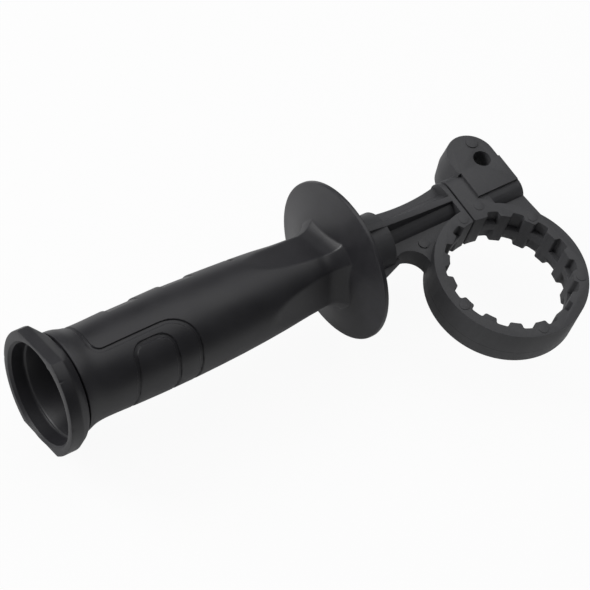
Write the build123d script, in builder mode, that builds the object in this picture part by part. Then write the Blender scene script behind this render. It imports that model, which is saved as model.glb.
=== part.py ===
from build123d import *
import math
import os

# Side handle of a rotary hammer: a hollow moulded grip with a hand guard, turned on a
# long bolt that closes a split, toothed clamp ring round the tool's collar.
# Millimetres. The origin is the centre of the ring's bore and +Z is the bore's axis.
# The grip points along -X, on the bolt's axis at y = bolt_offset.

# Clamp ring
collar_radius = 25.0
tooth_depth = 2.2
pocket_count = 15
pocket_pitch = 22.8
pocket_root_width = 5.0
pocket_flank_angle = 81.0
band_thickness = 3.8
band_high = 2.6
band_low = -0.3
ring_wall = 4.1
ring_height = 16.7
split_gap = 0.8

# Bolt, nut and the hole for the depth gauge
bolt_offset = 38.2
bolt_radius = 4.0
bolt_clearance = 0.3
hex_across_flats = 13.0
hex_clearance = 0.1
hex_face_radius = 6.2
hex_chamfer_angle = 30.0
head_height = 5.3
nut_height = 6.5
nut_bore_clearance = 0.06
bolt_overhang = 3.0
bolt_chamfer = 0.8
gauge_radius = 3.7
gauge_x = 20.7
gauge_y = 9.75

# Lug, on the far side of the split
lug_length = 28.6
lug_half_width = 10.5
lug_corner = 5.9
pad_rise = 1.3
pad_start = 8.1
pad_set_back = 0.7
pad_low = -4.7
pad_high = 8.1
ear_radius = 10.5
ear_x = 17.4
ear_y = 12.5
ear_overlap = 1.5
ear_rise = 1.15
ear_draft = 5.0
bridge_length = 13.0
side_web_half_height = 4.5

# Neck, between the guard and the ring
plate_thickness = 2.5
tube_radius = 6.4
fin_thickness = 2.5
neck_end = 36.3
sleeve_radius = 12.05
sleeve_length = 19.1
web_top = 3.0
web_bottom = -5.8
web_skin = 2.4
web_wall = 2.2
web_waist = 8.5
web_waist_x = 16.7
web_root = 10.25
arch_crown = 11.4
arch_fall = 7.4
arch_middle = 8.4
arch_reach = 11.9
gusset_reach = 7.6
gusset_overlap = 3.0
gusset_thickness = 1.6
fin_rise = 3.2
fin_shoulder_rise = 2.6
fin_shoulder_length = 8.0
fin_neck_rise = 0.1
fin_crest_rise = 1.7
fin_crest_x = 20.0

# Grip
running_gap = 0.3
hub_radius = 13.2
hub_rise = 0.3
hub_edge_length = 1.0
hub_edge_depth = 0.5
hub_root_back = 0.9
hub_root_rise = 3.0
guard_radius = 32.5
guard_thickness = 1.9
guard_lip_width = 4.0
guard_lip_depth = 0.8
grip_length = 134.7
grip_clock = -20.5
neck_radius = 14.9
body_radius = 18.2
waist_radius = 17.4
waist_length = 10.0
end_flare = 2.1
belly_from = 45.8
belly_to = 60.8
taper_crown = 0.47
neck_back = 12.5
flare_back = 5.4
flare_rise = 1.2
flare_end_back = 3.0
flare_end_rise = 4.0
grip_wall = 3.1
hub_thickness = 17.5
core_thickness = 37.0
flange_side = 23.4
flange_top = 22.2
flange_bottom = -20.9
flange_flat = 11.6
flange_thickness = 5.3
bevel_length = 4.5
bevel_angle = 30.0
bevel_foot_radius = 25.2
bevel_top_radius = 20.1
mouth_radius = 19.9
mouth_draft = 0.3
mouth_depth = 4.4
shoulder_radius = 17.0
hollow_waist_at = 21.8
hollow_belly_at = 50.3
hollow_taper = 1.6
relief_width = 0.9
relief_depth = 1.0
groove_width = 0.8
groove_depth = 0.45
panel_near = 20.2
panel_far = 59.8
panel_near_drop = 2.3
panel_far_drop = 1.8
panel_near_corner = 2.0
panel_far_corner = 9.0
patch_near = 33.8
patch_far = 50.3
patch_near_drop = 3.6
patch_far_drop = 3.4
patch_near_corner = 3.5
patch_far_corner = 6.0
scoop_floor = 12.4
scoop_length = 44.7
scoop_middle_back = 26.0
scoop_middle_rise = 1.8
scoop_low_back = 11.5
scoop_turn_back = 6.0
scoop_turn_rise = 1.2
scoop_end_back = 2.9
scoop_end_rise = 3.6
cutter_clearance = 2.0

# Marks left by the mould
pin_mark_radius = 2.1
pin_mark_rise = 0.2
pin_mark_circle = 28.1
pin_marked_teeth = (-4, -1, 2, 5)
bridge_mark = (-3.7, 27.8)
lug_mark = (6.0, 30.3)
web_mark_x = -22.0
web_mark_drop = 10.5
ear_disc_radius = 2.4
ear_disc_x = 3.9
ear_disc_y = 5.4
disc_rise = 0.5

half_height = ring_height / 2
root_radius = collar_radius + tooth_depth
ring_radius = root_radius + ring_wall
split_half = split_gap / 2
sleeve_end = -neck_end - sleeve_length
hole_radius = bolt_radius + bolt_clearance
lug_end = split_half + lug_length
head_seat = lug_end - head_height
hub_face = sleeve_end - running_gap
grip_end = hub_face - grip_length
nut_seat = hub_face - hub_thickness
nut_back = nut_seat - nut_height
bolt_tip = nut_back - bolt_overhang
bolt_length = head_seat - bolt_tip


def cross_plane(x, y=0.0):
    """The plane across the X direction at x, with its own x along +Y and y along +Z."""
    return Plane(origin=(x, y, 0), x_dir=(0, 1, 0), z_dir=(1, 0, 0))


def bolt_plane(x):
    """The plane across the bolt's axis at x."""
    return cross_plane(x, bolt_offset)


def tooth_centre(n):
    """Centre of the pin mark on the nth tooth after the bore's lowest pocket."""
    angle = math.radians(270 + (n + 0.5) * pocket_pitch)
    return (pin_mark_circle * math.cos(angle), pin_mark_circle * math.sin(angle))


def pocket_outline(first, count):
    """Every other pocket round the bore, from the first one on."""
    overlap = tooth_depth / 2
    foot_width = pocket_root_width + 4 * overlap / math.tan(math.radians(pocket_flank_angle))
    start = 90 + (360 - (pocket_count - 1) * pocket_pitch) / 2 + first * pocket_pitch
    with BuildSketch() as outline:
        with PolarLocations(
            root_radius - overlap,
            count,
            start_angle=start,
            angular_range=2 * (count - 1) * pocket_pitch,
            endpoint=True,
        ):
            Trapezoid(foot_width, 2 * tooth_depth, pocket_flank_angle, rotation=-90)
        Circle(root_radius, mode=Mode.INTERSECT)
    return outline.sketch


shallow_pockets = pocket_outline(0, (pocket_count + 1) // 2)
deep_pockets = pocket_outline(1, pocket_count // 2)

# Ear for the depth gauge, drafted both ways from its parting plane
ear_middle_radius = ear_radius + half_height * math.tan(math.radians(ear_draft))
ear_foot = bolt_offset + pad_high - ear_overlap
ear_left = (ear_x - ear_middle_radius, bolt_offset + ear_y)
ear_right = (ear_x + ear_middle_radius, bolt_offset + ear_y)
with BuildPart() as ear:
    with BuildSketch() as ear_outline:
        with BuildLine():
            ThreePointArc(ear_right, (ear_x, bolt_offset + ear_y + ear_middle_radius), ear_left)
            Polyline(ear_left, (ear_left[0], ear_foot), (ear_right[0], ear_foot), ear_right)
        make_face()
    extrude(amount=half_height + ear_rise, taper=ear_draft)
    extrude(ear_outline.sketch, amount=-half_height, taper=ear_draft)

# Clamp base: sleeve, bolt tube, webs, split ring, lug and ear in one moulding
fin_line = [
    (sleeve_end, 0),
    (sleeve_end, sleeve_radius + fin_rise),
    (sleeve_end + fin_shoulder_length, sleeve_radius + fin_shoulder_rise),
    (-neck_end, sleeve_radius + fin_neck_rise),
    (-fin_crest_x, half_height + fin_crest_rise),
    (-plate_thickness, half_height),
    (-plate_thickness, 0),
]
with BuildPart() as clamp_base:
    # Ring blank
    with BuildSketch():
        Circle(ring_radius)
    extrude(amount=half_height, both=True)
    # Web from the sleeve to the ring, hollow from below
    with BuildSketch(Plane.XY.offset(web_bottom)) as web_sketch:
        with BuildLine():
            arch_top = bolt_offset - arch_crown
            arch_start = (-neck_end, arch_top)
            arch_end = (-neck_end + arch_reach, arch_top - arch_fall)
            ThreePointArc(arch_start, (-neck_end + arch_middle, arch_top), arch_end)
            Polyline(arch_end, (-ring_radius / 2, 0), (0, 0), (0, bolt_offset + lug_half_width))
            ThreePointArc(
                (0, bolt_offset + lug_half_width),
                (-web_waist_x, bolt_offset + web_waist),
                (-neck_end, bolt_offset + web_root),
            )
            Line((-neck_end, bolt_offset + web_root), arch_start)
        make_face()
    extrude(amount=web_top - web_bottom)
    with BuildSketch(Plane.XY.offset(web_bottom)):
        add(web_sketch.sketch.faces())
        offset(amount=-web_wall, kind=Kind.INTERSECTION, mode=Mode.REPLACE)
        Circle(ring_radius + web_wall, mode=Mode.SUBTRACT)
        with Locations((0, bolt_offset)):
            Rectangle(2 * plate_thickness, 4 * lug_half_width, mode=Mode.SUBTRACT)
    extrude(amount=web_top - web_bottom - web_skin, mode=Mode.SUBTRACT)
    # Tube round the bolt, sleeve against the grip, and the fin along both
    with BuildSketch(bolt_plane(-neck_end)):
        Circle(tube_radius)
    extrude(amount=neck_end - split_half)
    with BuildSketch(bolt_plane(sleeve_end)):
        Circle(sleeve_radius)
    extrude(amount=sleeve_length)
    with BuildSketch(Plane(origin=(0, bolt_offset, 0), x_dir=(1, 0, 0), z_dir=(0, -1, 0))):
        with BuildLine():
            Polyline(*fin_line, close=True)
        make_face()
    extrude(amount=fin_thickness / 2, both=True)
    # Gusset that widens toward the guard
    with BuildSketch(Plane.XY.offset(-gusset_thickness)):
        Polygon(
            (-neck_end + gusset_overlap, bolt_offset - sleeve_radius),
            (sleeve_end, bolt_offset - sleeve_radius - gusset_reach),
            (sleeve_end, bolt_offset),
            (-neck_end + gusset_overlap, bolt_offset),
            align=None,
        )
    extrude(amount=gusset_thickness)
    # Plate beside the split and lug beyond it share one section
    with BuildSketch(bolt_plane(-plate_thickness)):
        RectangleRounded(2 * lug_half_width, ring_height, lug_corner)
    extrude(amount=plate_thickness + lug_end)
    # Full-height bridges from the plate and the lug down to the ring
    with BuildSketch():
        with Locations((-plate_thickness, 0)):
            Rectangle(
                plate_thickness + bridge_length,
                bolt_offset,
                align=(Align.MIN, Align.MIN),
            )
    extrude(amount=half_height, both=True)
    # Thinner web that closes the corner between the lug and the ring
    with BuildSketch():
        Polygon(
            (0, 0),
            (ring_radius, 0),
            (lug_end, bolt_offset - lug_half_width),
            (lug_end, bolt_offset),
            (0, bolt_offset),
            align=None,
        )
    extrude(amount=side_web_half_height, both=True)
    # Raised pad on the lug
    with BuildSketch():
        with Locations((pad_start, bolt_offset + pad_low)):
            Rectangle(
                lug_end - pad_set_back - pad_start,
                pad_high - pad_low,
                align=(Align.MIN, Align.MIN),
            )
    extrude(amount=half_height + pad_rise)
    add(ear.part)
    # Holes
    with BuildSketch(bolt_plane(sleeve_end)):
        Circle(hole_radius)
    extrude(amount=lug_end - sleeve_end, mode=Mode.SUBTRACT)
    with BuildSketch(bolt_plane(head_seat)):
        RegularPolygon(
            hex_across_flats / 2 + hex_clearance,
            6,
            major_radius=False,
            rotation=30,
        )
    extrude(amount=head_height, mode=Mode.SUBTRACT)
    with Locations((gauge_x, bolt_offset + gauge_y, 0)):
        Hole(gauge_radius)
    # Round marks of the mould's pins on the ring, the bridge and the web, and one on the ear
    with BuildSketch(Plane.XY.offset(half_height)):
        with Locations(*[tooth_centre(n) for n in pin_marked_teeth], bridge_mark, lug_mark):
            Circle(pin_mark_radius)
    extrude(amount=pin_mark_rise)
    with BuildSketch(Plane.XY.offset(web_top)):
        with Locations((web_mark_x, bolt_offset - web_mark_drop)):
            Circle(pin_mark_radius)
    extrude(amount=disc_rise)
    with BuildSketch(Plane.XY.offset(half_height + ear_rise)):
        with Locations((ear_x + ear_disc_x, bolt_offset + ear_y + ear_disc_y)):
            Circle(ear_disc_radius)
    extrude(amount=disc_rise)
    # Bore and split
    with BuildSketch():
        Circle(collar_radius)
    extrude(amount=half_height, both=True, mode=Mode.SUBTRACT)
    with BuildSketch():
        Rectangle(split_gap, 2 * (bolt_offset + lug_half_width), align=(Align.CENTER, Align.MIN))
    extrude(amount=half_height + pad_rise, both=True, mode=Mode.SUBTRACT)
    # Tooth pockets above and below a band that steps up at one pocket and down at the next
    for pockets, floor in ((shallow_pockets, band_high), (deep_pockets, band_low)):
        with BuildSketch(Plane.XY.offset(floor)):
            add(pockets)
        extrude(amount=half_height - floor, mode=Mode.SUBTRACT)
        with BuildSketch(Plane.XY.offset(-half_height)):
            add(pockets)
        extrude(amount=half_height + floor - band_thickness, mode=Mode.SUBTRACT)
clamp_base.part.label = "clamp_base"


# Grip: made about its own axis with its flat on top, then turned to its rest position
relief_end = grip_end + flange_thickness + bevel_length + relief_width
waist_x = relief_end + waist_length
belly_start = grip_end + belly_from
belly_end = grip_end + belly_to
guard_front = hub_face - hub_rise - guard_thickness
neck_x = guard_front - neck_back
taper_step = (neck_x - belly_end) / 3
cutter_reach = body_radius + cutter_clearance


def grip_curve(inset):
    """The grip's long outline from the relief groove to the neck, moved inward by inset."""
    ThreePointArc(
        (relief_end, waist_radius + end_flare - inset),
        (relief_end + waist_length * 0.4, waist_radius + end_flare * 0.28 - inset),
        (waist_x, waist_radius - inset),
    )
    Polyline(
        (waist_x, waist_radius - inset),
        (belly_start, body_radius - inset),
        (belly_end, body_radius - inset),
        (belly_end + taper_step, (2 * body_radius + neck_radius) / 3 + taper_crown - inset),
        (neck_x - taper_step, (body_radius + 2 * neck_radius) / 3 + taper_crown - inset),
        (neck_x, neck_radius - inset),
    )


# One of the four scoops that leave a spine between each two at the grip's neck
scoop_start = (guard_front - scoop_length, body_radius)
scoop_middle = (guard_front - scoop_middle_back, scoop_floor + scoop_middle_rise)
scoop_low = (guard_front - scoop_low_back, scoop_floor)
scoop_turn = (guard_front - scoop_turn_back, scoop_floor + scoop_turn_rise)
scoop_end = (guard_front - scoop_end_back, scoop_floor + scoop_end_rise)
with BuildPart() as scoop:
    with BuildSketch(Plane.XZ):
        with BuildLine():
            ThreePointArc(scoop_start, scoop_middle, scoop_low)
            ThreePointArc(scoop_low, scoop_turn, scoop_end)
            Polyline(
                scoop_end,
                (scoop_end[0], cutter_reach),
                (scoop_start[0], cutter_reach),
                scoop_start,
            )
        make_face()
    extrude(amount=body_radius, both=True)

# End flange: two flats joined by rounded sides
with BuildSketch(cross_plane(grip_end)) as flange:
    with BuildLine():
        top_right = (flange_flat, flange_top)
        top_left = (-flange_flat, flange_top)
        low_right = (flange_flat, flange_bottom)
        low_left = (-flange_flat, flange_bottom)
        flange_middle = (flange_top + flange_bottom) / 2
        Line(top_left, top_right)
        ThreePointArc(top_right, (flange_side, flange_middle), low_right)
        Line(low_right, low_left)
        ThreePointArc(low_left, (-flange_side, flange_middle), top_left)
    make_face()

with BuildPart() as end_flange:
    with BuildSketch(cross_plane(grip_end)):
        add(flange.sketch_local)
    extrude(amount=flange_thickness)

# Bevel behind the flange, its corners turned down to a circle at the relief groove
bevel_drop = bevel_foot_radius - bevel_top_radius
with BuildPart() as bevel:
    with BuildSketch(cross_plane(grip_end + flange_thickness)):
        add(flange.sketch_local)
    extrude(amount=bevel_length, taper=bevel_angle)
    with BuildSketch(cross_plane(grip_end + flange_thickness)):
        Circle(bevel_foot_radius)
    extrude(
        amount=bevel_length,
        taper=math.degrees(math.atan(bevel_drop / bevel_length)),
        mode=Mode.INTERSECT,
    )

relief_floor = waist_radius + end_flare - relief_depth
with BuildPart() as grip_body:
    # Body, guard and hub turned about the axis
    with BuildSketch(Plane.XZ):
        with BuildLine():
            grip_curve(0)
            Polyline(
                (neck_x, neck_radius),
                (guard_front - flare_back, neck_radius + flare_rise),
                (guard_front - flare_end_back, neck_radius + flare_end_rise),
                (guard_front - guard_lip_depth, guard_radius - guard_lip_width),
                (guard_front, guard_radius),
                (guard_front + guard_thickness, guard_radius),
                (guard_front - hub_root_back, hub_radius + hub_root_rise),
                (hub_face - hub_edge_length, hub_radius),
                (hub_face, hub_radius - hub_edge_depth),
                (hub_face, 0),
                (grip_end + flange_thickness, 0),
                (grip_end + flange_thickness, relief_floor),
                (relief_end, relief_floor),
                (relief_end, waist_radius + end_flare),
            )
        make_face()
    revolve(axis=Axis.X)
    add(end_flange.part)
    add(bevel.part)
    for turn in range(4):
        with Locations(Location((0, 0, 0), (90 * turn, 0, 0))):
            add(scoop.part, mode=Mode.SUBTRACT)
    # Hollow from the mouth to the hub, the nut's seat and the bolt's hole
    core_end = hub_face - core_thickness
    with BuildSketch(Plane.XZ):
        with BuildLine():
            Polyline(
                (grip_end, 0),
                (grip_end, mouth_radius),
                (grip_end + mouth_depth, mouth_radius - mouth_draft),
                (grip_end + mouth_depth, shoulder_radius),
                (grip_end + hollow_waist_at, waist_radius - grip_wall),
                (grip_end + hollow_belly_at, body_radius - grip_wall),
                (core_end, body_radius - hollow_taper - grip_wall),
                (core_end, 0),
                close=True,
            )
        make_face()
    revolve(axis=Axis.X, mode=Mode.SUBTRACT)
    with BuildSketch(cross_plane(core_end)):
        RegularPolygon(hex_across_flats / 2 + hex_clearance, 6, major_radius=False)
    extrude(amount=nut_seat - core_end, mode=Mode.SUBTRACT)
    with BuildSketch(cross_plane(nut_seat)):
        Circle(hole_radius)
    extrude(amount=hub_thickness, mode=Mode.SUBTRACT)

# Engraved lines round the lower half of the grip, seen from the side and cut to one depth
with BuildPart() as engraving:
    with BuildSketch(Plane.XZ):
        with BuildLine():
            FilletPolyline(
                (grip_end + panel_near, cutter_reach),
                (grip_end + panel_near, body_radius - panel_near_drop),
                (grip_end + panel_far, body_radius - panel_far_drop),
                (grip_end + panel_far, -cutter_reach),
                radius=[panel_near_corner, panel_far_corner],
            )
        trace(line_width=groove_width)
        with BuildLine():
            FilletPolyline(
                (grip_end + patch_near, -cutter_reach),
                (grip_end + patch_near, body_radius - patch_near_drop),
                (grip_end + patch_far, body_radius - patch_far_drop),
                (grip_end + patch_far, -cutter_reach),
                radius=[patch_near_corner, patch_far_corner],
            )
        trace(line_width=groove_width)
    extrude(amount=cutter_reach, both=True)
    with BuildSketch(Plane.XZ):
        with BuildLine():
            grip_curve(groove_depth)
            Polyline(
                (neck_x, neck_radius - groove_depth),
                (neck_x, 0),
                (relief_end, 0),
                (relief_end, waist_radius + end_flare - groove_depth),
            )
        make_face()
    revolve(axis=Axis.X, mode=Mode.SUBTRACT)

with BuildPart() as grip:
    with Locations(Location((0, bolt_offset, 0), (grip_clock, 0, 0))):
        add(grip_body.part)
        add(engraving.part, mode=Mode.SUBTRACT)
grip.part.label = "grip"

# Clamp bolt, its head held in the lug and its thread in the nut
with BuildPart() as clamp_bolt:
    with BuildSketch(bolt_plane(head_seat)):
        RegularPolygon(hex_across_flats / 2, 6, major_radius=False, rotation=30)
    extrude(amount=head_height)
    with BuildSketch(bolt_plane(lug_end)):
        Circle(hex_face_radius)
    extrude(amount=-head_height, taper=hex_chamfer_angle - 90, mode=Mode.INTERSECT)
    with BuildSketch(bolt_plane(bolt_tip)):
        Circle(bolt_radius)
    extrude(amount=bolt_length)
    chamfer(clamp_bolt.edges().sort_by(Axis.X)[0], bolt_chamfer)
clamp_bolt.part.label = "clamp_bolt"

# Nut, captive in the grip's hub and turned with it
with BuildPart() as nut:
    with BuildSketch(bolt_plane(nut_back)):
        RegularPolygon(hex_across_flats / 2, 6, major_radius=False, rotation=grip_clock)
        Circle(bolt_radius + nut_bore_clearance, mode=Mode.SUBTRACT)
    extrude(amount=nut_height)
    with BuildSketch(bolt_plane(nut_back)):
        Circle(hex_face_radius)
    extrude(amount=nut_height, taper=hex_chamfer_angle - 90, mode=Mode.INTERSECT)
nut.part.label = "nut"

os.makedirs("parts", exist_ok=True)
export_step(clamp_base.part, "parts/clamp_base.step")
export_step(grip.part, "parts/grip.step")
export_step(clamp_bolt.part, "parts/clamp_bolt.step")
export_step(nut.part, "parts/nut.step")
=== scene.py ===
import math

import bmesh
import bpy
import numpy as np
from mathutils import Matrix, Vector


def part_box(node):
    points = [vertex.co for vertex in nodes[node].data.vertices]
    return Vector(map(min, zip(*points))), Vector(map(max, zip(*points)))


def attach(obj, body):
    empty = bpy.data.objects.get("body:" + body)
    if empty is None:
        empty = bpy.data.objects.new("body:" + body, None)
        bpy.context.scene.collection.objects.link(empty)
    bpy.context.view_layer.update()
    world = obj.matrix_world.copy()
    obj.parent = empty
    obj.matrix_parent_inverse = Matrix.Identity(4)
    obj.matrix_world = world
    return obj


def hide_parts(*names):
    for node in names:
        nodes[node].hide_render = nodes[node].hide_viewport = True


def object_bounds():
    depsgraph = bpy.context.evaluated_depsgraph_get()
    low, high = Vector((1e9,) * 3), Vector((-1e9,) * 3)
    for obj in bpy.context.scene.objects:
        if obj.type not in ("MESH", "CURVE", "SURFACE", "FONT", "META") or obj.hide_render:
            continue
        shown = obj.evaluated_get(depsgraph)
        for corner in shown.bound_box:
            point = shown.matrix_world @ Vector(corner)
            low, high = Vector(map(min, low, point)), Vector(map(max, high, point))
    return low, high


# Looks of the side handle. The grip's profiles are in millimetres: u is a place along its axis and
# r a distance from it, with the hub's end at u = HUB_END. MM turns them into the frame's metres.
MM = 0.001
HUB_END = 133.9

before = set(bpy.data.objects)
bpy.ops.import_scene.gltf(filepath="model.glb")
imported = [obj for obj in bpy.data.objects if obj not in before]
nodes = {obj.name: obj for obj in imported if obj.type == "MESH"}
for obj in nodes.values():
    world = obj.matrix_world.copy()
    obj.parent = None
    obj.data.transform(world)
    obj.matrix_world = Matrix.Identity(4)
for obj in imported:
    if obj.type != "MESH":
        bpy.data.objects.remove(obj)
cad_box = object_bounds()

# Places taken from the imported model
grip_low, grip_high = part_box("grip")
ORIGIN = grip_high.x / MM - HUB_END
GRIP_FRONT = grip_low.x / MM - ORIGIN
AXIS_Y = (grip_low.y + grip_high.y) / 2 / MM
GRIP_CLOCK = math.radians(-20.5)
TURN = 2 * math.pi


# ---------------------------------------------------------------- curves and meshes
def three_point_arc(a, b, c, count):
    """Points on the circle through a, b and c, from a to c."""
    a, b, c = (np.array(p, float) for p in (a, b, c))
    d = 2 * (a[0] * (b[1] - c[1]) + b[0] * (c[1] - a[1]) + c[0] * (a[1] - b[1]))
    ux = ((a @ a) * (b[1] - c[1]) + (b @ b) * (c[1] - a[1]) + (c @ c) * (a[1] - b[1])) / d
    uy = ((a @ a) * (c[0] - b[0]) + (b @ b) * (a[0] - c[0]) + (c @ c) * (b[0] - a[0])) / d
    centre = np.array((ux, uy))
    radius = np.hypot(*(a - centre))
    ta, tb, tc = (math.atan2(*(p - centre)[::-1]) for p in (a, b, c))
    turn = (tc - ta) % TURN
    if (tb - ta) % TURN > turn:
        turn -= TURN
    t = ta + np.linspace(0, 1, count) * turn
    return np.stack((centre[0] + radius * np.cos(t), centre[1] + radius * np.sin(t)), 1)


def smooth_min(a, b, k):
    """The smaller of a and b, blended over k where they are close."""
    h = np.maximum(k - np.abs(a - b), 0) / k
    return np.minimum(a, b) - h * h * k / 4


def smooth_step(low, high, x):
    """0 below low, 1 above high and an eased rise between them."""
    t = np.clip((x - low) / (high - low), 0, 1)
    return t * t * (3 - 2 * t)


def eased(values, step, sigma, half):
    """Values at an even step, smoothed by a bell curve that reaches half steps to each side."""
    t = np.arange(-half, half + 1) * step
    w = np.exp(-0.5 * (t / sigma) ** 2)
    return np.convolve(np.pad(values, half, mode="edge"), w / w.sum(), mode="valid")


def thinned(values, least):
    """Sorted values, without those that follow another by no more than least."""
    values = np.unique(np.round(values, 2))
    return values[np.concatenate(([True], np.diff(values) > least))]


def rounded_path(points, radii, steps):
    """An open path whose corners are turned into arcs of the given radii."""
    pts = [np.array(p, float) for p in points]
    out = [pts[0]]
    for i in range(1, len(pts) - 1):
        before, after = pts[i - 1] - pts[i], pts[i + 1] - pts[i]
        before, after = before / np.hypot(*before), after / np.hypot(*after)
        half = math.acos(np.clip(before @ after, -1, 1)) / 2
        back = radii[i - 1] / math.tan(half)
        start, end = pts[i] + before * back, pts[i] + after * back
        middle = pts[i] + (before + after) / np.hypot(*(before + after)) * (
            radii[i - 1] / math.sin(half) - radii[i - 1]
        )
        out.extend(three_point_arc(start, middle, end, steps))
    out.append(pts[-1])
    return np.array(out)


def distance_to_path(x, y, path):
    """Least distance from each point of the grid to an open path."""
    best = np.full(x.shape, 1e9)
    for a, b in zip(path[:-1], path[1:]):
        d = b - a
        n = d @ d
        if n < 1e-12:
            continue
        t = np.clip(((x - a[0]) * d[0] + (y - a[1]) * d[1]) / n, 0, 1)
        best = np.minimum(best, np.hypot(x - a[0] - t * d[0], y - a[1] - t * d[1]))
    return best


def linked_object(name, data):
    piece = bpy.data.objects.new(name, data)
    bpy.context.scene.collection.objects.link(piece)
    return piece


def turned_piece(name, u, r, phi, origin, sharp):
    """A closed shell of rings round an axis parallel to X. u and r are rings by columns."""
    rings, cols = u.shape
    verts = np.stack((origin[0] + u, origin[1] + r * np.cos(phi), origin[2] + r * np.sin(phi)), -1)
    faces = []
    for i in range(rings):
        k = (i + 1) % rings
        for j in range(cols):
            n = (j + 1) % cols
            faces.append((i * cols + j, i * cols + n, k * cols + n, k * cols + j))
    mesh = bpy.data.meshes.new(name)
    mesh.from_pydata((verts.reshape(-1, 3) * MM).tolist(), [], faces)
    bm = bmesh.new()
    bm.from_mesh(mesh)
    bmesh.ops.remove_doubles(bm, verts=bm.verts, dist=1e-7)
    bmesh.ops.recalc_face_normals(bm, faces=bm.faces)
    bm.to_mesh(mesh)
    bm.free()
    mesh.shade_smooth()
    mesh.set_sharp_from_angle(angle=math.radians(sharp))
    return linked_object(name, mesh)


# ---------------------------------------------------------------- grip: body and neck
# The body's lower and upper outline differ a little, and both end in the same flare
LOW_SIDE = (
    (9.9, 19.6), (11.0, 19.3), (13.0, 18.35), (15.0, 17.89), (17.0, 17.6), (20.0, 17.45),
    (25.0, 17.55), (35.0, 17.95), (45.0, 18.16), (58.0, 18.16), (70.0, 17.93), (80.0, 17.6),
    (90.0, 17.08), (100.0, 16.36), (105.0, 15.9), (109.0, 15.5), (113.0, 15.13), (118.0, 14.85),
)
HIGH_SIDE = (
    (9.9, 19.9), (12.5, 19.86), (14.0, 19.7), (15.5, 19.1), (17.0, 18.58), (20.0, 18.15),
    (25.0, 18.13), (36.0, 18.39), (48.0, 18.35), (60.0, 18.42), (71.0, 17.95), (80.0, 17.52),
    (90.0, 17.02), (100.0, 16.31), (105.0, 15.77), (109.0, 15.35), (113.0, 15.08), (118.0, 14.85),
)
FLARE = three_point_arc((118.0, 14.85), (125.7, 15.95), (128.7, 18.9), 40)
SCOOP_FLOOR = np.concatenate((
    three_point_arc((87.0, 18.2), (105.7, 14.2), (120.2, 12.4), 40),
    three_point_arc((120.2, 12.4), (125.7, 13.5), (128.8, 16.0), 30)[1:],
))
FAR = 99.0  # a radius past everything, where a surface doesn't limit the outline
SIDE_STEP = 0.1
U_FINE = np.arange(5.0, 134.0, SIDE_STEP)


def smoothed_side(points):
    line = np.concatenate((np.array(points), FLARE[1:]))
    return eased(np.interp(U_FINE, line[:, 0], line[:, 1]), SIDE_STEP, 1.1, 40)


LOW_LINE = smoothed_side(LOW_SIDE)
HIGH_LINE = smoothed_side(HIGH_SIDE)


def body_radius_at(u, phi):
    """The grip's outline without scoops, from the relief groove to the guard."""
    low, high = np.interp(u, U_FINE, LOW_LINE), np.interp(u, U_FINE, HIGH_LINE)
    return low + (high - low) * (0.5 + 0.5 * np.cos(phi - math.pi / 4))


def neck_radius_at(u, phi, blend):
    """The body's outline, cut by the four scoops."""
    floor = np.interp(u, SCOOP_FLOOR[:, 0], SCOOP_FLOOR[:, 1], left=FAR, right=16.0)
    r = body_radius_at(u, phi)
    for k in range(4):
        c = np.cos(phi - k * math.pi / 2)
        cut = floor / np.where(c > 0.2, c, 0.2)
        r = np.where(c > 0.2, smooth_min(r, cut, blend), r)
    return r


def turn_from(phi, angle):
    """Signed turn from an angle, in radians between minus and plus half a turn."""
    return (phi - angle + math.pi) % TURN - math.pi


# ---------------------------------------------------------------- grip: end flange
FLAT_TOP, FLAT_LOW = 22.2, 20.9
SIDE_RADIUS, SIDE_SHIFT, SIDE_RISE = 25.58, 2.18, 0.65
BEVEL_START, BEVEL_LENGTH, BEVEL_ANGLE = 4.5, 4.5, 30
CONE_START, CONE_END, CONE_DROP = 25.2, 20.1, 5.1
FRONT_LEAN = 0.8
# Angle about the grip, half width and depth of each nick in the front edge, in degrees and mm
NICKS = ((4, 1.6, 0.5), (133, 1.2, 0.35), (178, 1.5, 0.4))
BURR_ANGLE, BURR_WIDTH = 114, 3.5
BODY_START = 10.2


def flange_radius_at(phi, inset):
    """The end flange's outline: two flats and two round sides."""
    s, c = np.sin(phi), np.cos(phi)
    top = np.where(s > 0.05, (FLAT_TOP - inset) / np.maximum(s, 0.05), FAR)
    low = np.where(s < -0.05, (FLAT_LOW - inset) / np.maximum(-s, 0.05), FAR)
    side = np.full(phi.shape, FAR)
    for centre in (-SIDE_SHIFT, SIDE_SHIFT):
        big = SIDE_RADIUS - inset
        d = c * centre + s * SIDE_RISE
        reach = d + np.sqrt(np.maximum(d * d - centre**2 - SIDE_RISE**2 + big**2, 0))
        side = np.where(c * centre <= 0, np.minimum(side, reach), side)
    return np.minimum(np.minimum(top, low), side)


def bevel_radius_at(u, phi):
    """The flange's outline drawn in behind its side, inside a cone."""
    past = u - BEVEL_START
    drawn_in = flange_radius_at(phi, past * math.tan(math.radians(BEVEL_ANGLE)))
    return np.minimum(drawn_in, CONE_START - past * CONE_DROP / BEVEL_LENGTH)


def peak_at(phi, angle, half_width):
    """1 at an angle, falling to 0 at half_width from it. Both are in degrees."""
    away = np.abs(turn_from(phi, math.radians(angle)))
    return np.clip(1 - away / math.radians(half_width), 0, 1)


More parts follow.
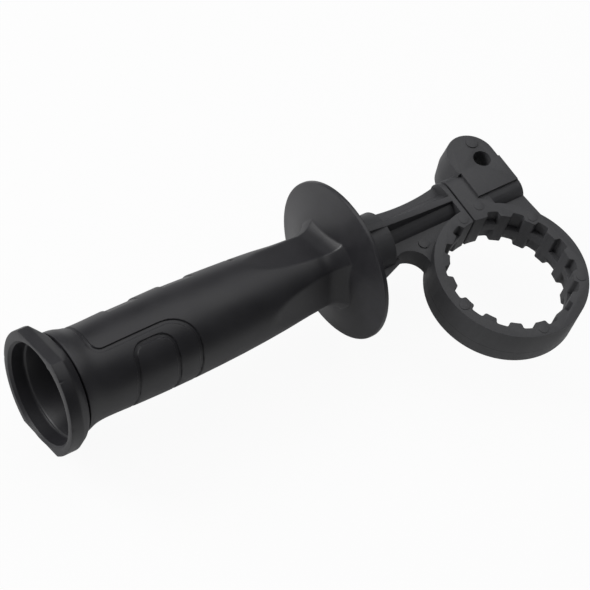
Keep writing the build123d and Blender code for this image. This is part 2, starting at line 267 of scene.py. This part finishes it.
def flange_rings(phi):
    """Mouth's edge, front face, side and bevel of the flange, then the relief groove."""
    nick = np.zeros(len(phi))
    for angle, half_width, depth in NICKS:
        nick = np.maximum(nick, depth * peak_at(phi, angle, half_width))
    burr = peak_at(phi, BURR_ANGLE, BURR_WIDTH)
    rim = flange_radius_at(phi, 0)
    front = GRIP_FRONT + FRONT_LEAN * (0.5 + 0.5 * np.sin(phi))
    rings = [
        (front + 1.1, 19.9 - 0.2 * burr),
        (front + 0.25, 20.68 - 0.6 * burr),
        (front + 0.05, 20.85 - 0.6 * burr),
        (front, 21.0),
        (front, rim - 0.3 - nick),
        (front + 0.08, rim - 0.09 - nick),
        (front + 0.3, rim - 0.7 * nick),
    ]
    rings.extend((u, rim) for u in (0.9, 2.2, 3.4, 4.3))
    rings.append((4.42, flange_radius_at(phi, 0.02)))
    rings.extend((u, bevel_radius_at(u, phi)) for u in (4.62, 5.4, 6.5, 7.6, 8.5, 8.85))
    rings.append((9.0, np.minimum(bevel_radius_at(9.0, phi), CONE_END) - 0.1))
    start = body_radius_at(BODY_START, phi)
    rings.extend(((9.05, 18.5), (9.85, 18.5), (9.9, 18.6), (9.92, start - 0.3), (10.0, start - 0.08)))
    return rings


# ---------------------------------------------------------------- grip: engraving
ENGRAVED_RADIUS = 17.8  # the engraved lines are laid out on a cylinder of this radius
GROOVE_DEPTH, GROOVE_FLOOR, GROOVE_EDGE = 0.6, 0.6, 0.88
# Ends and depth of the far side's two shallow recesses and cross groove
RECESSES = ((35.0, 48.0, 0.48), (58.7, 72.0, 0.5), (88.9, 90.2, 0.6))
RECESS_WALL = 0.12
RECESS_MIDDLE, RECESS_FLAT, RECESS_END = -6, 63.0, 76.0
# Stretches of the body whose rings lie close together, and their step
FINE_STRETCHES = (
    (18.2, 20.2, 0.15), (20.2, 23.4, 0.3), (29.6, 35.6, 0.2), (46.5, 50.5, 0.2),
    (51.0, 56.4, 0.4), (56.4, 60.2, 0.2), (71.4, 72.6, 0.2), (88.5, 90.7, 0.2),
)


def along(degrees):
    """Length round the engraved cylinder, from the top towards the near side."""
    return math.radians(degrees) * ENGRAVED_RADIUS


def engraved_paths():
    end = along(206)
    outer = ((19.15, along(-48)), (19.15, along(28)), (59.2, along(28)), (57.4, end))
    inner = ((30.5, end), (31.4, along(95)), (33.4, along(39.5)), (49.3, along(39.5)), (48.0, end))
    return rounded_path(outer, (4.2, 11.5), 14), rounded_path(inner, (40.0, 4.6, 6.0), 12)


def body_places():
    """Where along the axis the body's rings lie, up to the guard."""
    places = [np.arange(BODY_START, 87, 1.0), np.arange(86, 118, 0.7)]
    places.extend(np.arange(low, high, step) for low, high, step in FINE_STRETCHES)
    return thinned(np.concatenate(places), 0.1)


def body_rings(phi, places):
    """Body and neck with the engraved lines, recesses and scoops."""
    u, angle = np.meshgrid(places, phi, indexing="ij")
    r = neck_radius_at(u, angle, 0.45)
    around = ((angle - math.pi / 2 + 1.2) % TURN - 1.2) * ENGRAVED_RADIUS
    outer, inner = engraved_paths()
    near = np.minimum(distance_to_path(u, around, outer), distance_to_path(u, around, inner))
    r = r - GROOVE_DEPTH * (1 - smooth_step(GROOVE_FLOOR, GROOVE_EDGE, near))
    beside = np.degrees(np.abs(turn_from(angle, math.radians(RECESS_MIDDLE))))
    for low, high, depth in RECESSES:
        past_low = smooth_step(low - RECESS_WALL, low + RECESS_WALL, u)
        past_high = smooth_step(high - RECESS_WALL, high + RECESS_WALL, u)
        across = past_low * (1 - past_high)
        r = r - depth * across * (1 - smooth_step(RECESS_FLAT, RECESS_END, beside))
    return list(zip(places, r))


# ---------------------------------------------------------------- grip: guard, hub and hollow
EASE_STEP, EASE_SIGMA = 0.05, 0.38
EASE_HALF = int(1.2 / EASE_STEP)
# The guard's flat back runs between these two places, as u and r
BACK_IN, BACK_OUT = (130.8, 16.2), (133.6, 32.5)
GUARD_RIM = (
    (131.62, 32.1), (131.78, 32.33), (132.05, 32.45), (132.4, 32.48),
    (133.2, 32.48), (133.45, 32.4), (133.56, 32.15), (133.5, 31.6),
)
HUB = (
    (130.9, 16.35), (131.05, 15.9), (132.6, 13.55), (133.0, 13.1), (133.75, 12.75), (HUB_END, 12.55),
    (HUB_END, 9.0), (HUB_END, 4.7), (133.75, 4.4), (133.5, 4.3), (125, 4.3), (116.4, 4.3),
)
NUT_POCKET_APOTHEM = 6.6
HOLLOW = (
    (96.9, 12.9), (96.6, 13.35), (96.2, 13.52), (84, 13.94), (72, 14.34), (60, 14.75), (49.5, 15.1),
    (40, 14.83), (30, 14.55), (22.2, 14.32), (21, 14.3), (19.8, 14.55), (14, 16.0), (9.4, 17.35),
    (6.2, 18.4), (5.9, 18.52), (5.7, 18.75), (5.5, 19.15), (5.2, 19.3), (4.6, 19.35), (2.0, 19.75),
)


def guard_front_at(r):
    """Place of the guard's dished front."""
    return np.interp(r, (10.0, 18.9, 28.5, 32.5), (126.66, 128.7, 130.9, 131.7))


def neck_column(phi, last_place):
    """One column of the neck's run into the guard: places and radii, closest at their meeting line."""
    neck_u = np.linspace(112, 131, 400)
    neck_r = neck_radius_at(neck_u, np.full(neck_u.shape, phi), 0.3)
    meets = np.flatnonzero(neck_u >= guard_front_at(neck_r))[0]
    out_r = np.linspace(neck_r[meets], 30.0, 200)
    pts = np.concatenate((np.stack((neck_u[:meets], neck_r[:meets]), 1),
                          np.stack((guard_front_at(out_r), out_r), 1)))
    s = np.concatenate(([0], np.cumsum(np.hypot(*np.diff(pts, axis=0).T))))
    even = np.arange(0, s[-1], EASE_STEP)
    u = eased(np.interp(even, s, pts[:, 0]), EASE_STEP, EASE_SIGMA, EASE_HALF)
    r = eased(np.interp(even, s, pts[:, 1]), EASE_STEP, EASE_SIGMA, EASE_HALF)
    first = np.flatnonzero(u >= last_place + 0.3)[0]
    last = np.flatnonzero(r <= 26.0)[-1]
    middle = int(s[meets] / EASE_STEP)
    at = np.concatenate((np.linspace(first, middle - 24, 17), np.linspace(middle - 20, middle + 20, 15),
                         np.linspace(middle + 30, last, 12)))
    count = np.arange(len(u))
    return np.interp(at, count, u), np.interp(at, count, r)


def neck_rings(phi, last_place):
    """Neck into the guard's dished front, eased a little column by column."""
    columns = [neck_column(angle, last_place) for angle in phi]
    u, r = (np.array([column[k] for column in columns]).T for k in (0, 1))
    return list(zip(u, r))


def guard_rings():
    """Guard's front, rim and back."""
    rings = [(guard_front_at(r), r) for r in (26.8, 27.6, 28.2, 28.6, 29.0, 30.0, 31.0, 31.7)]
    rings.extend(GUARD_RIM)
    (in_u, in_r), (out_u, out_r) = BACK_IN, BACK_OUT
    rings.extend((in_u + (r - in_r) * (out_u - in_u) / (out_r - in_r), r) for r in (29, 26, 23, 20, 17.2))
    return rings


def hub_rings(phi):
    """Hub with the bolt's hole, and the nut's hexagon pocket inside it."""
    third = math.pi / 3
    pocket = NUT_POCKET_APOTHEM / np.cos((phi % third) - third / 2)
    return [*HUB, (116.4, pocket), (106, pocket), (97.2, pocket), (96.9, pocket + 0.3)]


def grip_angles():
    """Angles of the columns, closest at the engraving, the spines and the flange's corners."""
    angles = [np.arange(0, 360, 2.5), np.arange(110, 150, 0.55), np.arange(54, 72, 1.5)]
    angles.extend(spine + np.arange(-5, 5.1, 1.0) for spine in (45, 135, 225, 315))
    angles.extend(corner + np.arange(-0.75, 0.8, 0.25) for corner in (61.75, 118.25, 240.1, 299.9))
    return np.radians(thinned(np.concatenate(angles) % 360, 0.12))


def build_grip():
    phi = grip_angles()
    places = body_places()
    rings = [*flange_rings(phi), *body_rings(phi, places), *neck_rings(phi, places[-1]),
             *guard_rings(), *hub_rings(phi), *HOLLOW]
    u, r = (np.array([np.broadcast_to(np.asarray(ring[k], float), phi.shape) for ring in rings])
            for k in (0, 1))
    return turned_piece("grip_looks", u, r, phi + GRIP_CLOCK, (ORIGIN, AXIS_Y, 0), 30)


# ---------------------------------------------------------------- clamp base
TOOTH_REACH = 0.0285  # upright edges nearer than this to the ring's axis belong to the teeth
TOOTH_ROUND = 0.6 * MM
EDGE_ROUND = 0.32 * MM


def is_tooth_corner(edge):
    a, b = edge.verts[0].co, edge.verts[1].co
    upright = math.hypot(a.x - b.x, a.y - b.y) < 2e-5 and abs(a.z - b.z) > 0.002
    if not upright or math.hypot(a.x, a.y) >= TOOTH_REACH or len(edge.link_faces) != 2:
        return False
    return edge.calc_face_angle(0) > math.radians(40)


def build_base():
    """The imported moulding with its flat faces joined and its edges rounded, the teeth's most."""
    mesh = nodes["clamp_base"].data.copy()
    mesh.name = "clamp_base_looks"
    bm = bmesh.new()
    bm.from_mesh(mesh)
    bmesh.ops.remove_doubles(bm, verts=bm.verts, dist=2e-7)
    bmesh.ops.dissolve_limit(bm, angle_limit=math.radians(0.4), use_dissolve_boundaries=False,
                             verts=bm.verts, edges=bm.edges)
    bmesh.ops.recalc_face_normals(bm, faces=bm.faces)
    corners = [edge for edge in bm.edges if is_tooth_corner(edge)]
    bmesh.ops.bevel(bm, geom=corners, offset=TOOTH_ROUND, offset_type="OFFSET", segments=3,
                    profile=0.5, affect="EDGES", clamp_overlap=True)
    bm.to_mesh(mesh)
    bm.free()
    piece = linked_object("clamp_base_looks", mesh)
    bevel = piece.modifiers.new("edges", "BEVEL")
    bevel.width = EDGE_ROUND
    bevel.segments = 3
    bevel.limit_method = "ANGLE"
    bevel.angle_limit = math.radians(28)
    bevel.harden_normals = True
    bevel.use_clamp_overlap = True
    bevel.miter_outer = "MITER_ARC"
    mesh.shade_smooth()
    graph = bpy.context.evaluated_depsgraph_get()
    made = bpy.data.meshes.new_from_object(piece.evaluated_get(graph))
    piece.modifiers.clear()
    piece.data = made
    return piece


grip = build_grip()
base = build_base()


# ---------------------------------------------------------------- shader helpers
def empty_material(name):
    mat = bpy.data.materials.new(name)
    mat.use_nodes = True
    mat.node_tree.nodes.clear()
    return mat, mat.node_tree, mat.node_tree.nodes.new("ShaderNodeOutputMaterial")


def plain_material(name):
    mat, tree, out = empty_material(name)
    shader = tree.nodes.new("ShaderNodeBsdfPrincipled")
    tree.links.new(shader.outputs["BSDF"], out.inputs["Surface"])
    return mat, tree, shader


def noise(tree, coords, scale, detail, rough):
    n = tree.nodes.new("ShaderNodeTexNoise")
    n.inputs["Scale"].default_value = scale
    n.inputs["Detail"].default_value = detail
    n.inputs["Roughness"].default_value = rough
    tree.links.new(coords, n.inputs["Vector"])
    return n.outputs["Fac"]


def ranged(tree, value, a, b, c, d):
    """The value's range a to b, turned into c to d and held there."""
    n = tree.nodes.new("ShaderNodeMapRange")
    n.clamp = True
    n.inputs["From Min"].default_value = a
    n.inputs["From Max"].default_value = b
    n.inputs["To Min"].default_value = c
    n.inputs["To Max"].default_value = d
    tree.links.new(value, n.inputs["Value"])
    return n.outputs["Result"]


def math_node(tree, kind, a, b):
    n = tree.nodes.new("ShaderNodeMath")
    n.operation = kind
    for i, v in enumerate((a, b)):
        if isinstance(v, (int, float)):
            n.inputs[i].default_value = v
        else:
            tree.links.new(v, n.inputs[i])
    return n.outputs["Value"]


def product(tree, first, *others):
    for other in others:
        first = math_node(tree, "MULTIPLY", first, other)
    return first


def line_at(tree, value, place, half, fade, strength):
    """A line where the value is at a place: full to half from it, gone at fade."""
    away = math_node(tree, "ABSOLUTE", math_node(tree, "SUBTRACT", value, place), 0)
    return ranged(tree, away, half, fade, strength, 0)


def colour_mix(tree, fac, first, second):
    """A mix of two colours, each three numbers or a socket."""
    n = tree.nodes.new("ShaderNodeMix")
    n.data_type = "RGBA"
    tree.links.new(fac, n.inputs["Factor"])
    for name, colour in (("A", first), ("B", second)):
        if isinstance(colour, tuple):
            n.inputs[name].default_value = (*colour, 1)
        else:
            tree.links.new(colour, n.inputs[name])
    return n.outputs["Result"]


def bump(tree, height, distance, strength, normal=None):
    n = tree.nodes.new("ShaderNodeBump")
    n.inputs["Strength"].default_value = strength
    n.inputs["Distance"].default_value = distance
    tree.links.new(height, n.inputs["Height"])
    if normal is not None:
        tree.links.new(normal, n.inputs["Normal"])
    return n.outputs["Normal"]


def coords(tree, kind):
    return tree.nodes.new("ShaderNodeTexCoord").outputs[kind]


def split_coords(tree, at):
    n = tree.nodes.new("ShaderNodeSeparateXYZ")
    tree.links.new(at, n.inputs["Vector"])
    return n.outputs["X"], n.outputs["Y"], n.outputs["Z"]


# ---------------------------------------------------------------- materials
# Places of the fine lines on the clamp, in metres, which get a bump and painted shade
PARTING_Z, RIM_Z = -0.0027, 0.0129
SEAM_SLOPE, SEAM_Y = 0.104, 0.04278


def ring_grooves_and_shade(tree, x, y, z):
    """Fine grooves round the ring's outside, under its rim and at the mould's parting line, for their
    bump and their painted shade.
    """
    facing = split_coords(tree, coords(tree, "Normal"))[2]
    upright = ranged(tree, math_node(tree, "ABSOLUTE", facing, 0), 0.2, 0.5, 1, 0)
    squares = math_node(tree, "ADD", product(tree, x, x), product(tree, y, y))
    outside = ranged(tree, math_node(tree, "SQRT", squares, 0), 0.0298, 0.0302, 0, 1)
    before_lug = ranged(tree, y, 0.020, 0.024, 1, 0)
    parting = line_at(tree, z, PARTING_Z, 0.00008, 0.0003, 0.6)
    rim = line_at(tree, z, RIM_Z, 0.0002, 0.0005, 1)
    return product(tree, upright, outside, before_lug, math_node(tree, "MAXIMUM", parting, rim))


def ear_seam_and_shade(tree, x, y, z):
    """Seam on the ear, from the pad's corner to the gauge hole, for its bump and its painted shade."""
    level = math_node(tree, "SUBTRACT", y, product(tree, x, SEAM_SLOPE))
    return product(
        tree,
        line_at(tree, level, SEAM_Y, 0.00008, 0.00022, 0.8),
        ranged(tree, x, 0.0048, 0.0050, 0, 1),
        ranged(tree, x, 0.0140, 0.0142, 1, 0),
        ranged(tree, z, 0.0140, 0.0144, 0, 1),
    )


def base_material():
    """Matte, glass-filled moulding with a fine grain, faint flow mottling and fine lines, bumped in and
    painted dark as their shade.
    """
    mat, tree, shader = plain_material("clamp_plastic")
    at = coords(tree, "Object")
    x, y, z = split_coords(tree, at)
    mottle = noise(tree, at, 55, 4, 0.6)
    grain = noise(tree, at, 1500, 2, 0.6)
    both = math_node(tree, "ADD", product(tree, mottle, 0.7), product(tree, grain, 0.3))
    plain = colour_mix(tree, ranged(tree, both, 0.3, 0.7, 0, 1),
                       (0.036, 0.036, 0.039), (0.054, 0.054, 0.058))
    line = math_node(tree, "MAXIMUM", ring_grooves_and_shade(tree, x, y, z), ear_seam_and_shade(tree, x, y, z))
    # The fine lines' near-black colour is painted shade in the grooves and the seam
    tree.links.new(colour_mix(tree, line, plain, (0.010, 0.010, 0.011)), shader.inputs["Base Color"])
    tree.links.new(ranged(tree, mottle, 0.3, 0.7, 0.50, 0.62), shader.inputs["Roughness"])
    fine = bump(tree, grain, 0.00006, 0.55)
    fine = bump(tree, math_node(tree, "SUBTRACT", 1, line), 0.00012, 0.8, fine)
    tree.links.new(fine, shader.inputs["Normal"])
    shader.inputs["IOR"].default_value = 1.5
    return mat


def grip_material():
    """Satin, near-black moulding, a little glossier on the guard, whose colour is painted lighter as the
    light it catches.
    """
    mat, tree, shader = plain_material("grip_plastic")
    at = coords(tree, "Object")
    mottle = noise(tree, at, 70, 4, 0.55)
    grain = noise(tree, at, 2200, 2, 0.6)
    guard = ranged(tree, split_coords(tree, at)[0], -0.0625, -0.0600, 0, 1)
    plain = ranged(tree, mottle, 0.3, 0.7, 0, 0.35)
    guard_painted_light = product(tree, guard, ranged(tree, mottle, 0.25, 0.75, 0.25, 1))
    # On the guard a lighter, mottled colour is painted light, standing in for the light it catches;
    # elsewhere the mottle is a random tone
    colour = colour_mix(tree, math_node(tree, "MAXIMUM", plain, guard_painted_light),
                        (0.013, 0.0126, 0.0152), (0.036, 0.0352, 0.0395))
    tree.links.new(colour, shader.inputs["Base Color"])
    rough = ranged(tree, mottle, 0.3, 0.7, 0.40, 0.50)
    tree.links.new(math_node(tree, "SUBTRACT", rough, product(tree, guard, 0.08)),
                   shader.inputs["Roughness"])
    tree.links.new(bump(tree, grain, 0.00003, 0.5), shader.inputs["Normal"])
    shader.inputs["IOR"].default_value = 1.5
    return mat


def steel_material():
    """Plain zinc-plated steel with fine turned and wiped marks."""
    mat, tree, shader = plain_material("steel")
    at = coords(tree, "Object")
    mottle = noise(tree, at, 300, 4, 0.6)
    fine = noise(tree, at, 3000, 2, 0.6)
    colour = colour_mix(tree, ranged(tree, mottle, 0.3, 0.7, 0, 1),
                        (0.50, 0.50, 0.49), (0.66, 0.66, 0.64))
    tree.links.new(colour, shader.inputs["Base Color"])
    shader.inputs["Metallic"].default_value = 1.0
    tree.links.new(ranged(tree, mottle, 0.3, 0.7, 0.28, 0.42), shader.inputs["Roughness"])
    tree.links.new(bump(tree, fine, 0.00002, 0.5), shader.inputs["Normal"])
    return mat


def dress(piece, mat, body, replaced):
    piece.data.materials.clear()
    piece.data.materials.append(mat)
    for polygon in piece.data.polygons:
        polygon.material_index = 0
    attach(piece, body)
    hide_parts(replaced)


dress(grip, grip_material(), "handgrip", "grip")
dress(base, base_material(), "base", "clamp_base")
steel = steel_material()
for name in ("clamp_bolt", "nut"):
    for material_slot in nodes[name].material_slots:
        material_slot.material = steel


# ---------------------------------------------------------------- floor, light and camera
FLOOR_HALF = 1.1
FLOOR_GAP = 0.0002
FLOOR_WHITE = 0.94  # share of the floor's own white that the camera sees
FLOOR_REFLECTED = 0.2  # share of that white in reflections
LIT_POINT = (-0.07, 0.03, 0)


def floor_material():
    """A pale floor that keeps shadows, and is nearly white to the camera."""
    mat, tree, out = empty_material("floor")
    mix = tree.nodes.new("ShaderNodeMixShader")
    plain = tree.nodes.new("ShaderNodeBsdfDiffuse")
    plain.inputs["Color"].default_value = (0.86, 0.86, 0.86, 1)
    glow = tree.nodes.new("ShaderNodeEmission")
    glow.inputs["Color"].default_value = (1, 1, 1, 1)
    glow.inputs["Strength"].default_value = 1.0
    path = tree.nodes.new("ShaderNodeLightPath").outputs
    through = math_node(tree, "MAXIMUM", path["Is Glossy Ray"], path["Is Transmission Ray"])
    seen = math_node(tree, "MAXIMUM", path["Is Camera Ray"], product(tree, through, FLOOR_REFLECTED))
    tree.links.new(product(tree, seen, FLOOR_WHITE), mix.inputs["Fac"])
    tree.links.new(plain.outputs["BSDF"], mix.inputs[1])
    tree.links.new(glow.outputs["Emission"], mix.inputs[2])
    tree.links.new(mix.outputs["Shader"], out.inputs["Surface"])
    return mat


def area_light(name, at, width, height, power):
    light = bpy.data.lights.new(name, "AREA")
    light.shape = "RECTANGLE"
    light.size = width
    light.size_y = height
    light.energy = power
    lamp = linked_object(name, light)
    lamp.location = at
    lamp.rotation_euler = (Vector(LIT_POINT) - Vector(at)).to_track_quat("-Z", "Y").to_euler()


mesh = bpy.data.meshes.new("floor")
floor_z = cad_box[0][2] - FLOOR_GAP
mesh.from_pydata([(-FLOOR_HALF, -FLOOR_HALF, floor_z), (FLOOR_HALF, -FLOOR_HALF, floor_z),
                  (FLOOR_HALF, FLOOR_HALF, floor_z), (-FLOOR_HALF, FLOOR_HALF, floor_z)],
                 [], [(0, 1, 2, 3)])
floor = linked_object("floor", mesh)
floor.data.materials.append(floor_material())

area_light("overhead", (0.3, 0.4, 1.3), 1.7, 1.5, 10.5)
area_light("left", (-0.95, 0.8, 0.75), 0.6, 0.6, 11)

# The world lights little, and is white to the camera alone
world = bpy.data.worlds.new("studio")
world.use_nodes = True
tree = world.node_tree
background = tree.nodes["Background"]
background.inputs["Color"].default_value = (0.96, 0.98, 1, 1)
camera_ray = tree.nodes.new("ShaderNodeLightPath").outputs["Is Camera Ray"]
tree.links.new(ranged(tree, camera_ray, 0, 1, 0.12, 1.0), background.inputs["Strength"])
bpy.context.scene.world = world

# The camera's place, turn and lens are fitted to the photograph
camera = bpy.data.cameras.new("camera")
camera.lens = 132.711
camera.sensor_width = 36
camera.clip_start = 0.05
viewer = linked_object("camera", camera)
right = Vector((0.80648, -0.55087, 0.21478))
up = Vector((0.36944, 0.7531, 0.54438))
back = Vector((-0.46163, -0.35968, 0.81088))
turn = Matrix((right, up, back)).transposed().to_4x4()
viewer.matrix_world = Matrix.Translation((-0.46064, -0.26434, 0.66808)) @ turn
bpy.context.scene.camera = viewer
bpy.context.scene.view_settings.view_transform = "Standard"
